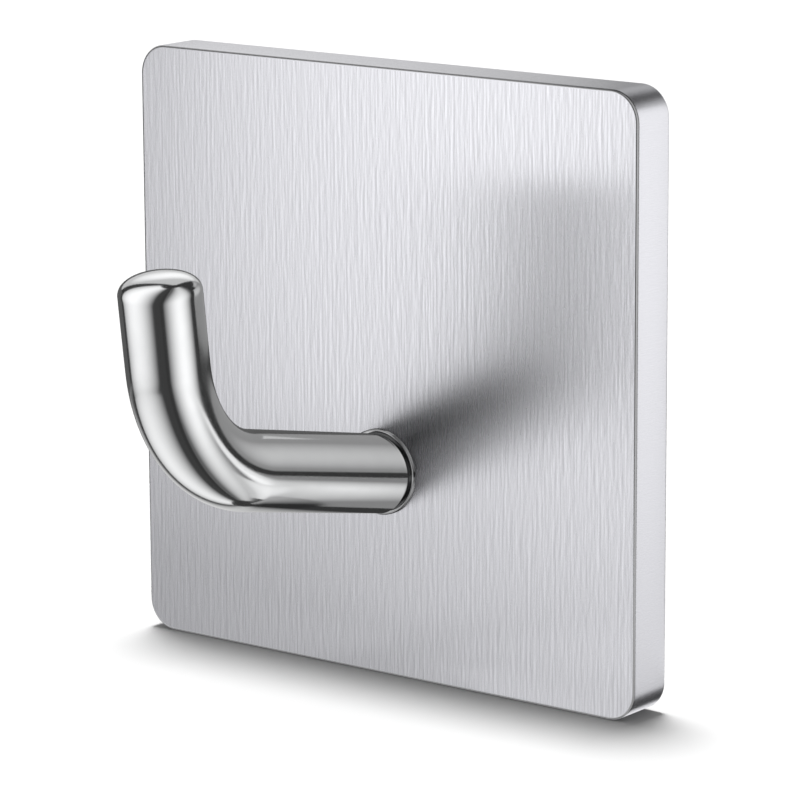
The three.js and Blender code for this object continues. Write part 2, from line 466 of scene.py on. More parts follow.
@dataclass(frozen=True)
class Finish(ABC):
    """A finish, which is one material and goes with a slot of the record.

    Attributes:
        first: The colour where the finish's pattern is 0.
        second: The colour where it is 1.
        roughness: The roughness where the pattern is 0 and where it is 1.
        strength: How strong the relief is.
        depth: How deep the relief is.
        metal: 1 for a metal, 0 for anything else.
        edge: The painted shade of a marked edge, a darker colour that stands in for the dark reflection there,
            where that differs.
    """

    name: ClassVar[str]
    slot: ClassVar[Slot]
    first: Colour
    second: Colour
    roughness: Limits
    strength: float
    depth: float
    metal: float = 1.0
    edge: Colour | None = None

    @abstractmethod
    def patterns(self, board: NodeBoard) -> tuple[Socket, Socket]:
        """The pattern that colour and roughness follow, and the one that the relief follows."""

    def extras(self, board: NodeBoard) -> Sockets:
        """What the shader's further sockets get."""
        return {}

    def material(self) -> bpy.types.Material:
        """Finds the material, or makes it at its first use.

        Returns:
            The finish's material.
        """
        made = bpy.data.materials.get(self.name)
        if made is None:
            made, board = new_material(self.name)
            pattern, height = self.patterns(board)
            colour = board.blend(pattern, self.first, self.second)
            # Painted shade: a marked edge is darkened towards the edge colour.
            if self.edge is not None:
                colour = board.blend(board.edge(), colour, self.edge)
            sockets = {
                "Base Color": colour,
                "Roughness": board.spread(pattern, *self.roughness),
                "Normal": board.relief(height, self.strength, self.depth),
                "Metallic": self.metal,
                **self.extras(board),
            }
            shader = board.add("BsdfPrincipled", sockets)
            board.add("OutputMaterial", {"Surface": shader.outputs["BSDF"]})
        return made


@dataclass(frozen=True)
class BrushedStainless(Finish):
    """Sheet brushed one way, so that reflections smear across the lines and stay crisp along them."""

    name: ClassVar[str] = "upright_brushing"
    slot: ClassVar[Slot] = Slot.BRUSHED
    first: Colour = (0.6, 0.6, 0.63)
    second: Colour = (0.79, 0.79, 0.83)
    # Painted shade: the rounded front edge is darkened, standing in for the dark reflection along it.
    edge: Colour | None = (0.34, 0.34, 0.345)
    roughness: Limits = (0.29, 0.24)
    strength: float = 0.1
    depth: float = 0.002 * MM
    lines_per_metre: float = 4300.0
    strokes_per_metre: float = 480.0
    one_way: float = 0.85

    def patterns(self, board: NodeBoard) -> tuple[Socket, Socket]:
        """Both are the brush lines."""
        lines = board.brush_lines(self.lines_per_metre, self.strokes_per_metre)
        return lines, lines

    def extras(self, board: NodeBoard) -> Sockets:
        """Reflections smear across the lines."""
        across = board.add("Tangent", direction_type="UV_MAP", uv_map=CHART)
        return {"Tangent": across.outputs["Tangent"], "Anisotropic": self.one_way}


@dataclass(frozen=True)
class PolishedStainless(Finish):
    """Bar stock buffed to a soft mirror, with a faint film."""

    name: ClassVar[str] = "buffed_bar"
    slot: ClassVar[Slot] = Slot.POLISHED
    first: Colour = (0.71, 0.715, 0.72)
    second: Colour = (0.68, 0.685, 0.69)
    # Painted shade: where rows are marked, on the collar's thin ring, the metal is darkened to a dark outline.
    edge: Colour | None = (0.3, 0.3, 0.305)
    roughness: Limits = (0.1, 0.14)
    strength: float = 0.02
    depth: float = 0.001 * MM
    lines_per_metre: float = 4200.0
    strokes_per_metre: float = 90.0

    def patterns(self, board: NodeBoard) -> tuple[Socket, Socket]:
        """The film, and the last lines of the buffing."""
        return board.film(), board.brush_lines(self.lines_per_metre, self.strokes_per_metre)


@dataclass(frozen=True)
class BrightZinc(Finish):
    """Zinc plating over turned steel."""

    name: ClassVar[str] = "bright_zinc"
    slot: ClassVar[Slot] = Slot.ZINC
    first: Colour = (0.66, 0.69, 0.72)
    second: Colour = (0.52, 0.54, 0.55)
    roughness: Limits = (0.22, 0.4)
    strength: float = 0.1
    depth: float = 0.005 * MM
    grains_per_metre: float = 9000.0

    def patterns(self, board: NodeBoard) -> tuple[Socket, Socket]:
        """The film, and a fine grain."""
        return board.film(), board.grain(self.grains_per_metre)


@dataclass(frozen=True)
class MouldedPlastic(Finish):
    """Dark moulded plastic with a fine grain."""

    name: ClassVar[str] = "moulded_plastic"
    slot: ClassVar[Slot] = Slot.PLASTIC
    first: Colour = (0.028, 0.028, 0.031)
    second: Colour = (0.05, 0.05, 0.054)
    roughness: Limits = (0.45, 0.65)
    strength: float = 0.25
    depth: float = 0.02 * MM
    metal: float = 0.0
    grains_per_metre: float = 5000.0

    def patterns(self, board: NodeBoard) -> tuple[Socket, Socket]:
        """Both are the grain."""
        grain = board.grain(self.grains_per_metre)
        return grain, grain


@dataclass(frozen=True)
class FoamTape(Finish):
    """Grey closed-cell foam with a film of glue."""

    name: ClassVar[str] = "foam_and_glue"
    slot: ClassVar[Slot] = Slot.FOAM
    first: Colour = (0.19, 0.195, 0.2)
    second: Colour = (0.33, 0.335, 0.34)
    roughness: Limits = (0.95, 0.7)
    strength: float = 0.5
    depth: float = 0.06 * MM
    metal: float = 0.0
    cells_per_metre: float = 3200.0
    glue: Limits = (0.05, 0.2)
    glue_roughness: float = 0.35

    def patterns(self, board: NodeBoard) -> tuple[Socket, Socket]:
        """Both are the foam's cells."""
        cells = board.grain(self.cells_per_metre)
        return cells, cells

    def extras(self, board: NodeBoard) -> Sockets:
        """The glue is a thin, uneven coat."""
        return {"Coat Weight": board.spread(board.film(), *self.glue), "Coat Roughness": self.glue_roughness}


# The hook's own pieces


@dataclass(frozen=True)
class Stack:
    """Planes across the hook, from the wall outwards, and what the pieces on the screw's axis share."""

    wall: float = 0.0
    rim_back: float = -0.3 * MM
    pad_front: float = -1.0 * MM
    head_back: float = -1.1 * MM
    head_front: float = -2.3 * MM
    washer_front: float = -3.0 * MM
    sheet_inside: float = -3.5 * MM
    plate_front: float = -4.3 * MM
    collar_front: float = -5.1 * MM
    screw_point: float = -8.5 * MM
    bore_end: float = -8.8 * MM
    axis_height: float = -7.4 * MM
    hole_radius: float = 1.7 * MM
    bar_radius: float = 2.985 * MM


STACK = Stack()


def round_angles(columns: int) -> np.ndarray:
    """The angles of a number of columns round a turn."""
    return np.linspace(0.0, TURN, columns, endpoint=False)


def round_axis(radius: np.ndarray, y: np.ndarray | float, a: np.ndarray) -> np.ndarray:
    """Points round the screw's axis: (radius cos a, y, axis height + radius sin a)."""
    around = [radius * np.cos(a), y, STACK.axis_height + radius * np.sin(a)]
    return np.stack(np.broadcast_arrays(*around), axis=-1)


def turned(profile: np.ndarray, columns: int) -> np.ndarray:
    """A profile of radius against Y carried round the screw's axis."""
    return round_axis(profile[:, :1], profile[:, 1:], round_angles(columns))


def within(radius: float, edge: np.ndarray) -> np.ndarray:
    """A profile of radius against Y from an edge of distance inwards against Y: radius - distance."""
    return [radius, 0.0] + edge * [-1.0, 1.0]


def round_hole(outline: np.ndarray, radius: float) -> np.ndarray:
    """Points round the screw's axis: the axis plus the radius times the direction to an outline's point.

    Args:
        outline: Points of the plane of X and Z, columns by 2.
        radius: The hole's radius.

    Returns:
        The hole's points, columns by 2.
    """
    axis = np.array([0.0, STACK.axis_height])
    away = outline - axis
    return axis + radius * away / np.linalg.norm(away, axis=1, keepdims=True)


class Piece(ABC):
    """One piece of the hook. It replaces the CAD node of its name and rides on the only body."""

    node: ClassVar[str]
    finish: ClassVar[Finish]
    mirrored: ClassVar[bool] = False
    shading: ClassVar[bool] = True

    @abstractmethod
    def surface(self) -> Surface:
        """The piece's closed surface."""

    def build(self) -> bpy.types.Object:
        """Makes the piece's object, seats it in the frame and dresses it.

        Returns:
            The object, at the origin.
        """
        made = bpy.data.objects.new(f"{self.node}_dressed", self.surface().mesh(self.node))
        bpy.context.scene.collection.objects.link(made)
        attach(made, "root")
        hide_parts(self.node)
        self.dress(made)
        return made

    def dress(self, made: bpy.types.Object) -> None:
        """Gives the object its finish, and says whether it is mirrored and shades the floor.

        Args:
            made: The piece's object.
        """
        made.data.materials.append(self.finish.material())
        made.visible_glossy = self.mirrored
        made.visible_shadow = self.shading


@dataclass(frozen=True)
class FacePlate(Piece):
    """The pressed square sheet with its rim turned back."""

    node: ClassVar[str] = "face_plate"
    finish: ClassVar[Finish] = BrushedStainless()
    side: float = 46 * MM
    sheet: float = 0.8 * MM
    corner_radius: float = 2.3 * MM
    edge_radius: float = 0.2 * MM
    lip_radius: float = 0.15 * MM
    guard: float = 0.04 * MM
    rim_fineness: float = 15.0
    edge_steps: int = 8
    lip_steps: int = 4
    rows: tuple[float, ...] = (0.0, 0.02, 0.25, 0.5, 0.75, 0.98, 0.998, 1.0)

    def surface(self) -> Surface:
        """Carries the sheet's section round: from the screw hole over the front, the rim and back inside.

        The front and the inside are drawn straight between the hole and the outline.

        Returns:
            A ring of rows. The front is charted by X and Z, so its brush lines stand upright, and the rest by
            the lengths round and across the rim, so its lines cross the rim.
        """
        outline, outward = SquareOutline(self.side, self.corner_radius).points_and_outwards()
        hole = round_hole(outline, STACK.hole_radius)
        shares = np.array(self.rows)
        front = drawn(hole, outline - self.edge_radius * outward, shares, STACK.plate_front)
        rim = carried(outline, outward, self.rim_section())
        inside = drawn(hole, outline - self.sheet * outward, 1 - shares, STACK.sheet_inside)
        points = np.concatenate([front, rim, inside])

        charts = unrolled(points, joined=True) * [self.rim_fineness, 1.0]
        flat = front[:, :, [0, 2]]
        flat = np.concatenate([flat, flat[:, :1]], axis=1)
        charts[: len(front) - 1] = np.stack([flat[:-1], flat[1:]], axis=1)
        # The painted shade's mark leaves out the edge's first row and its last two, so that it fades out on
        # both sides.
        shaded_rows = (len(front) + 1, len(front) + self.edge_steps - 2)
        return Surface(points, charts, joined=True, shaded_rows=shaded_rows)

    def rim_section(self) -> np.ndarray:
        """The section beyond the front: rounded edge, flat outside of the rim, rounded lip and inside.

        Returns:
            Distance inwards against Y, rows by 2.
        """
        back = STACK.rim_back
        edge = front_edge(self.edge_radius, self.edge_steps, STACK.plate_front)[1:]
        flat_front = STACK.plate_front + self.edge_radius + self.guard
        flat = [[0.0, flat_front], [0.0, back - self.lip_radius - self.guard]]
        outer = back_edge(self.lip_radius, self.lip_steps, back)
        inner = [self.sheet, 0.0] - front_edge(self.lip_radius, self.lip_steps, -back)
        return np.concatenate([edge, flat, outer, inner])


@dataclass(frozen=True)
class HookBar(Piece):
    """The round bar: an arm that rises from the plate, one bend, a short upright and a domed tip."""

    node: ClassVar[str] = "hook_rod"
    finish: ClassVar[Finish] = PolishedStainless()
    mirrored: ClassVar[bool] = True
    shading: ClassVar[bool] = False
    radius: float = STACK.bar_radius
    rise: float = math.radians(11.5)
    arm: float = 15.3 * MM
    bend_radius: float = 10.4 * MM
    bend: float = math.radians(71.3)
    upright: float = 5.4 * MM
    dome: float = 1.5 * MM
    dome_fullness: float = 2.3
    bore_radius: float = 1.65 * MM
    columns: int = 128
    root_rows: int = 5
    arm_steps: int = 24
    bend_steps: int = 96
    upright_steps: int = 12
    dome_steps: int = 24

    def axis(self, distance: np.ndarray) -> tuple[np.ndarray, np.ndarray]:
        """The bar's axis: straight along the rise, round the bend, straight again.

        With s the slope at a distance, the bend goes out by the bend radius times sin s less sin rise, and up
        by the bend radius times cos rise less cos s.

        Args:
            distance: Lengths from the root along the axis.

        Returns:
            The places and the unit directions there, each with a last axis of 3.
        """
        on_arm = np.minimum(distance, self.arm)
        slope = self.rise + np.clip((distance - self.arm) / self.bend_radius, 0.0, self.bend)
        on_upright = np.maximum(distance - self.arm - self.bend_radius * self.bend, 0.0)
        out = (
            on_arm * math.cos(self.rise)
            + self.bend_radius * (np.sin(slope) - math.sin(self.rise))
            + on_upright * np.cos(slope)
        )
        up = (
            on_arm * math.sin(self.rise)
            + self.bend_radius * (math.cos(self.rise) - np.cos(slope))
            + on_upright * np.sin(slope)
        )
        none = np.zeros_like(distance)
        places = np.stack([none, STACK.collar_front - out, STACK.axis_height + up], axis=-1)
        return places, np.stack([none, -np.cos(slope), np.sin(slope)], axis=-1)

    def cap(self) -> tuple[np.ndarray, np.ndarray]:
        """The dome, a quarter of a superellipse, as radius and as height over the end of the upright.

        With t from 0 to a quarter turn, the radius is the bar's times cos(t)^(2/fullness), and the height the
        dome's times sin(t)^(2/fullness).

        Returns:
            The radii and the heights after the first, each rows by 1.
        """
        t = np.linspace(0.0, TURN / 4, self.dome_steps + 1)[1:, None]
        power = 2 / self.dome_fullness
        return self.radius * np.cos(t) ** power, self.dome * np.sin(t) ** power

    def surface(self) -> Surface:
        """Carries a circle along the axis, from the bore's end out round the root and on to the dome's pole.

        A ring's point is the axis's place plus the ring's radius times (cos a X + sin a lift), where lift is
        square to X and the axis. The first rings are slid along the axis, so that the root is flat on the
        collar.

        Returns:
            A closed tube with a pole at each end.
        """
        a = round_angles(self.columns)
        bend_end = self.arm + self.bend_radius * self.bend
        end = bend_end + self.upright
        slant = self.radius * math.tan(self.rise)
        mitre = -slant * np.sin(a)
        run_in = 2 * slant
        slid = mitre + np.linspace(0.0, 1.0, self.root_rows)[:, None] * (run_in - mitre)
        runs = (
            (run_in, self.arm, self.arm_steps),
            (self.arm, bend_end, self.bend_steps),
            (bend_end, end, self.upright_steps),
        )
        straight = np.concatenate([np.linspace(near, far, steps + 1)[1:] for near, far, steps in runs])
        cap_radius, cap_height = self.cap()
        level = np.concatenate([straight[:, None], end + cap_height])
        distance = np.concatenate([slid, np.broadcast_to(level, (len(level), self.columns))])
        radius = np.concatenate([np.full((len(slid) + len(straight), 1), self.radius), cap_radius])

        places, direction = self.axis(distance)
        aside = np.array([1.0, 0.0, 0.0])
        lift = np.cross(aside, direction)
        ring = np.cos(a)[None, :, None] * aside + np.sin(a)[None, :, None] * lift
        bar = places + radius[:, :, None] * ring
        bore_end = [[0.0, STACK.bore_end], [self.bore_radius, STACK.bore_end]]
        bore = np.array([*bore_end, [self.bore_radius, STACK.collar_front]])
        points = np.concatenate([turned(bore, self.columns), bar])
        return Surface(points, unrolled(points))


@dataclass(frozen=True)
class RootCollar(Piece):
    """The collar between the bar and the plate: a neck as wide as the bar, and a thin ring on the plate."""

    node: ClassVar[str] = "root_collar"
    finish: ClassVar[Finish] = PolishedStainless()
    mirrored: ClassVar[bool] = True
    shading: ClassVar[bool] = False
    neck_radius: float = STACK.bar_radius
    radius: float = 3.25 * MM
    ring: float = 0.32 * MM
    edge_radius: float = 0.1 * MM
    guard: float = 0.03 * MM
    edge_steps: int = 6
    columns: int = 128

    def surface(self) -> Surface:
        """Turns the collar's section: front face, neck, the ring's front, edge and rim, back face and hole.

        Returns:
            A ring of rows, with the thin ring's rows marked for painted shade, a dark outline.
        """
        front = STACK.plate_front - self.ring
        edge = within(self.radius, front_edge(self.edge_radius, self.edge_steps, front))
        neck = [
            [STACK.hole_radius, STACK.collar_front],
            [self.neck_radius - self.guard, STACK.collar_front],
            [self.neck_radius, STACK.collar_front],
            [self.neck_radius, STACK.collar_front + self.guard],
            [self.neck_radius, front - self.guard],
            [self.neck_radius, front],
        ]
        back = [[self.radius, STACK.plate_front], [STACK.hole_radius, STACK.plate_front]]
        points = turned(np.concatenate([neck, edge, back]), self.columns)
        shaded_rows = (len(neck), len(neck) + len(edge) + 1)
        return Surface(points, unrolled(points, joined=True), joined=True, shaded_rows=shaded_rows)


@dataclass(frozen=True)
class HookScrew(Piece):
    """The screw from behind: a threaded shank and a low round head with a cross recess."""

    node: ClassVar[str] = "hook_screw"
    finish: ClassVar[Finish] = BrightZinc()
    shading: ClassVar[bool] = False
    radius: float = 1.5 * MM
    pitch: float = 0.5 * MM
    thread_depth: float = 0.27 * MM
    plain: float = 0.6 * MM
    point_chamfer: float = 0.4 * MM
    head_radius: float = 2.9 * MM
    head_edge: float = 0.4 * MM
    recess_reach: float = 1.6 * MM
    recess_half_width: float = 0.35 * MM
    recess_depth: float = 0.7 * MM
    wall_slope: float = 0.12 * MM
    columns: int = 96
    rows_per_pitch: int = 10
    edge_steps: int = 6
    face_rows: int = 41

    def surface(self) -> Surface:
        """Joins the point, the shank, the head's edge and the head's face.

        Returns:
            A closed form with a pole at the point and one at the middle of the head.
        """
        a = round_angles(self.columns)
        point = turned(np.array([[0.0, STACK.screw_point]]), self.columns)
        edge = within(self.head_radius, back_edge(self.head_edge, self.edge_steps, STACK.head_back))
        head = turned(np.concatenate([[[self.head_radius, STACK.head_front]], edge]), self.columns)
        points = np.concatenate([point, self.shank(a), head, self.face(a)])
        return Surface(points, unrolled(points))

    def shank(self, a: np.ndarray) -> np.ndarray:
        """The threaded shank.

        Its radius falls by the thread's depth times a triangle wave of y / pitch less a / turn, so the thread
        is a helix. It fades out before the head, and a cone cuts it at the point.

        Args:
            a: The columns' angles.

        Returns:
            Rows by columns by 3 points.
        """
        length = STACK.head_front - STACK.screw_point
        rows = round(length / self.pitch) * self.rows_per_pitch
        y = np.linspace(STACK.screw_point, STACK.head_front, rows + 1)[:, None]
        wave = np.abs(2 * ((y / self.pitch - a / TURN) % 1.0) - 1.0)
        fade = np.clip((STACK.head_front - self.plain - y) / self.pitch, 0.0, 1.0)
        cone = self.radius - np.clip(self.point_chamfer - (y - STACK.screw_point), 0.0, None)
        return round_axis(np.minimum(self.radius - self.thread_depth * wave * fade, cone), y, a)

    def face(self, a: np.ndarray) -> np.ndarray:
        """The head's face, lowered by the recess's depth inside a cross of two bars with sloped walls.

        Args:
            a: The columns' angles.

        Returns:
            Rows by columns by 3 points, from the head's edge to its middle.
        """
        reach = np.linspace(self.head_radius - self.head_edge, 0.0, self.face_rows + 1)[1:, None]
        x, z = np.abs(reach * np.cos(a)), np.abs(reach * np.sin(a))
        outside = np.minimum(
            np.maximum(x - self.recess_reach, z - self.recess_half_width),
            np.maximum(z - self.recess_reach, x - self.recess_half_width),
        )
        sunk = np.clip(-outside / self.wall_slope, 0.0, 1.0) * self.recess_depth
        return round_axis(reach, STACK.head_back - sunk, a)


@dataclass(frozen=True)
class LockWasher(Piece):
    """The split washer under the screw's head, pressed flat."""

    node: ClassVar[str] = "lock_washer"
    finish: ClassVar[Finish] = BrightZinc()
    outer: float = 3.1 * MM
    slit: float = 0.5 * MM
    edge: float = 0.08 * MM
    steps: int = 96

    def surface(self) -> Surface:
        """Carries a bevelled oblong section round the axis from one side of the slit to the other.

        Returns:
            A closed form with a pole in the middle of each end.
        """
        inner, outer, e = STACK.hole_radius, self.outer, self.edge
        front, back = STACK.washer_front, STACK.head_front
        section = np.array(
            [
                [inner, front + e],
                [inner + e, front],
                [outer - e, front],
                [outer, front + e],
                [outer, back - e],
                [outer - e, back],
                [inner + e, back],
                [inner, back - e],
            ]
        )
        half_gap = math.asin(self.slit / 2 / inner)
        a = TURN / 4 + np.linspace(half_gap, TURN - half_gap, self.steps + 1)
        a = np.concatenate([a[:1], a, a[-1:]])[:, None]
        rings = np.repeat(section[None], len(a), axis=0)
        rings[[0, -1]] = section.mean(axis=0)
        points = round_axis(rings[..., 0], rings[..., 1], a)
        return Surface(points, unrolled(points))


@dataclass(frozen=True)
class BackingPlate(Piece):
    """The plastic core that fills the pressed plate, with a pocket for the screw's head."""

    node: ClassVar[str] = "backing_plate"
    finish: ClassVar[Finish] = MouldedPlastic()
    side: float = 43.8 * MM
    corner_radius: float = 1.2 * MM
    edge_radius: float = 0.25 * MM
    pocket_radius: float = 3.4 * MM
    edge_steps: int = 4
    rows: tuple[float, ...] = (0.0, 0.02, 0.5, 0.98, 1.0)

    def surface(self) -> Surface:
        """Carries the core's section round: hole, front, rounded edge, back, pocket wall and pocket floor.

        Front and back are drawn straight between the round hole or pocket and the square outline.

        Returns:
            A ring of rows.
        """
        outline, outward = SquareOutline(self.side, self.corner_radius).points_and_outwards()
        hole, pocket = (round_hole(outline, radius) for radius in (STACK.hole_radius, self.pocket_radius))
        brow = outline - self.edge_radius * outward
        shares = np.array(self.rows)
        front = front_edge(self.edge_radius, self.edge_steps, STACK.sheet_inside)[1:]
        back = back_edge(self.edge_radius, self.edge_steps, STACK.pad_front)
        points = np.concatenate(
            [
                drawn(hole, brow, shares, STACK.sheet_inside),
                carried(outline, outward, np.concatenate([front, back])),
                drawn(brow, pocket, shares[1:], STACK.pad_front),
                drawn(pocket, hole, shares, STACK.washer_front),
            ]
        )
        return Surface(points, unrolled(points, joined=True), joined=True)


@dataclass(frozen=True)
class AdhesivePad(Piece):
    """The die-cut foam pad, flat on the wall and on the core, with its cut edge drawn in a little."""

    node: ClassVar[str] = "adhesive_pad"
    finish: ClassVar[Finish] = FoamTape()
    side: float = 42 * MM
    corner_radius: float = 2 * MM
    edge_radius: float = 0.12 * MM
    waist: float = 0.12 * MM
    fill: float = 0.9
    edge_steps: int = 4
    side_steps: int = 8
    rows: tuple[float, ...] = (0.0, 0.3, 0.6, 0.9, 0.995)

    def surface(self) -> Surface:
        """Carries the pad's section round the outline.

        Each face is drawn straight from its middle to the outline. Between rounded edges, the cut side is
        drawn in by the waist times sin of half a turn across the thickness.

        Returns:
            A closed form with a pole in the middle of each face.
        """
        outline, outward = SquareOutline(self.side, self.corner_radius).points_and_outwards()
        e, wall, front = self.edge_radius, STACK.wall, STACK.pad_front
        share = np.linspace(0.0, 1.0, self.side_steps + 1)[1:-1]
        waist = self.waist * np.sin(math.pi * share)
        side = np.stack([waist, front + e + (wall - front - 2 * e) * share], axis=1)
        section = [front_edge(e, self.edge_steps, front), side, back_edge(e, self.edge_steps, wall)]
        shares = np.array(self.rows)
        brow = outline - e * outward
        points = np.concatenate(
            [
                drawn(0.0, brow, shares, front),
                carried(outline, outward, np.concatenate(section)),
                drawn(0.0, brow, shares[::-1], wall),
            ]
        )
        return Surface(points, unrolled(points))

    def dress(self, made: bpy.types.Object) -> None:
        """Gives the pad its finish, as any piece does."""
        super().dress(made)


# The stage


def stage_object(name: str, points: np.ndarray, material: bpy.types.Material) -> bpy.types.Object:
    """Makes an object that isn't part of the hook.

    Args:
        name: The object's name.
        points: Its open grid, rows by columns by 3.
        material: Its material.

    Returns:
        The object, marked as stage.
    """
    surface = Surface(points, open_charts(*points.shape[:2]), looped=False)
    made = bpy.data.objects.new(name, surface.mesh(name))
    made.data.materials.append(material)
    bpy.context.scene.collection.objects.link(made)
    return made


@dataclass(frozen=True)
class PaleSheet:
    """A pale card looked at along the table: an even sheet, dimmer near the plate and on the left.

    Attributes:
        base: Its glow at the wall's plane, in the middle.
        ahead: What it gains for each metre away from the wall's plane.
        aside: What it gains for each metre to the right.
        limits: Its dimmest and its brightest.
        facing: The facing, 0 straight on and 1 along, from which it starts to show and is all that shows.
    """

    base: float = 0.615
    ahead: float = 9.0
    aside: float = 7.0
    limits: Limits = (0.3, 1.15)
    facing: Limits = (0.61, 0.71)

    def over(self, board: NodeBoard, glow: Socket) -> Socket:
        """Lays the sheet over a card's glow.

        Args:
            board: The card's board.
            glow: The glow where the card is looked at steeply.

        Returns:
            The glow from any side.
        """
        place = board.add("SeparateXYZ", {0: board.place()}).outputs
        ahead = board.math("MULTIPLY_ADD", board.math("ABSOLUTE", place["Y"]), self.ahead, self.base)
        sheet = board.math("MULTIPLY_ADD", place["X"], self.aside, ahead)
        facing = board.add("LayerWeight", {"Blend": 0.5}).outputs["Facing"]
        along = board.remap(facing, self.facing, interpolation_type="SMOOTHSTEP")
        return board.between(along, glow, board.remap(sheet, self.limits, self.limits))


@dataclass(frozen=True)
class Glow:
    """How a card glows.

    Attributes:
        peak: The glow at its bright spot.
        edge: The glow at its edges.
        spot: The bright spot, in shares of half the card to the right of and above its middle.
        sideways_fall: How far a step sideways dims the glow, in shares of half the card.
        upright_fall: How far a step up or down dims it.
        power: The power that the distance from the bright spot is raised to.
        mirrored_again: The share of the glow that is left in a reflection of a reflection.
        pale: Whether the card is a pale sheet when it is looked at along the table.
        seen_within: How near a surface has to be to mirror the card. One further off looks through it.
        one_reflection: The ray depth past which a reflection is one of a reflection.
    """

    peak: float
    edge: float
    spot: tuple[float, float] = (0.0, 0.0)
    sideways_fall: float = 1.0
    upright_fall: float = 0.7
    power: float = 2.0
    mirrored_again: float = 0.12
    pale: bool = True
    seen_within: float = 1.0
    one_reflection: ClassVar[float] = 1.5

    def material(self, name: str) -> bpy.types.Material:
        """Looked at steeply, a card glows by the distance from its bright spot, raised to a power.

        Args:
            name: The material's name.

        Returns:
            The material.
        """
        made, board = new_material(name)
        away = board.vector("SUBTRACT", board.chart(), (*self.spot, 0.0))
        away = board.vector("MULTIPLY", away, (self.sideways_fall, self.upright_fall, 0.0))
        reach = board.add("VectorMath", {0: away}, operation="LENGTH").outputs["Value"]
        glow = board.spread(board.math("POWER", reach, self.power, clamped=True), self.peak, self.edge)
        if self.pale:
            glow = PaleSheet().over(board, glow)
        path = board.add("LightPath").outputs
        again = board.math("GREATER_THAN", path["Ray Depth"], self.one_reflection)
        glow = board.math("MULTIPLY", glow, board.spread(again, 1.0, self.mirrored_again))
        light = board.add("Emission", {"Strength": glow}).outputs["Emission"]
        clear = board.add("BsdfTransparent").outputs["BSDF"]
        far = board.math("GREATER_THAN", path["Ray Length"], self.seen_within)
        shown = board.add("MixShader", {0: far, 1: light, 2: clear})
        board.add("OutputMaterial", {"Surface": shown.outputs["Shader"]})
        return made


@dataclass(frozen=True)
class Card(ABC):
    """A glowing card. Only reflections show it, so that it lights and hides nothing else."""

    name: str
    glow: Glow

    @abstractmethod
    def points(self) -> np.ndarray:
        """The card's grid, rows by columns by 3."""

    def build(self) -> None:
        """Makes the card."""
        card = stage_object(self.name, self.points(), self.glow.material(self.name))
        card.visible_camera = False
        card.visible_diffuse = False
        card.visible_shadow = False


@dataclass(frozen=True)
class DomeCard(Card):
    """A card on the half sphere over the hook and on the table under it.

    Attributes:
        azimuth: Its first and last azimuth in degrees, 0 towards -Y and 90 towards +X.
        elevation: Its first and last elevation in degrees.
        inset: How far inside the dome the card is.
    """

    azimuth: Limits
    elevation: Limits
    inset: float = 1 * MM
    centre: ClassVar[Place] = (0.0, -12 * MM, -23.018 * MM)
    radius: ClassVar[float] = 80 * MM
    raised: ClassVar[float] = 1 / 200
    columns: ClassVar[int] = 49
    rows: ClassVar[int] = 65

    def points(self) -> np.ndarray:
        """A grid on the dome and the table.

        From elevation 0 up, a point is the centre plus the radius times (sin az cos el, -cos az cos el,
        sin el). Below 0 it lies on the table, at the radius times 1 + el / a quarter turn from the centre.
        The inset comes off the radius, and a small share of it raises the card over the table.

        Returns:
            Rows by columns by 3 points.
        """
        azimuths = np.radians(np.linspace(*self.azimuth, self.columns))
        elevations = np.radians(np.linspace(*self.elevation, self.rows))
        az, el = np.meshgrid(azimuths, elevations)
        out = np.where(el > 0, np.cos(el), 1 + el / (TURN / 4))
        up = np.sin(np.maximum(el, 0.0))
        centre = np.array(self.centre) + [0.0, 0.0, self.inset * self.raised]
        reach = self.radius - self.inset
        return centre + reach * np.stack([np.sin(az) * out, -np.cos(az) * out, up], axis=-1)


@dataclass(frozen=True)
class FlatCard(Card):
    """A flat card beside the plate.

    Attributes:
        corner: Its first corner.
        width: The step from there along its rows.
        height: The step along its columns.
    """

    corner: Place
    width: Place
    height: Place
    steps: ClassVar[int] = 3

    def points(self) -> np.ndarray:
        """A grid of the corner plus shares of the width and the height.

        Returns:
            Rows by columns by 3 points.
        """
        shares = np.linspace(0.0, 1.0, self.steps)
        u, v = np.meshgrid(shares, shares)
        return np.array(self.corner) + u[..., None] * self.width + v[..., None] * self.height


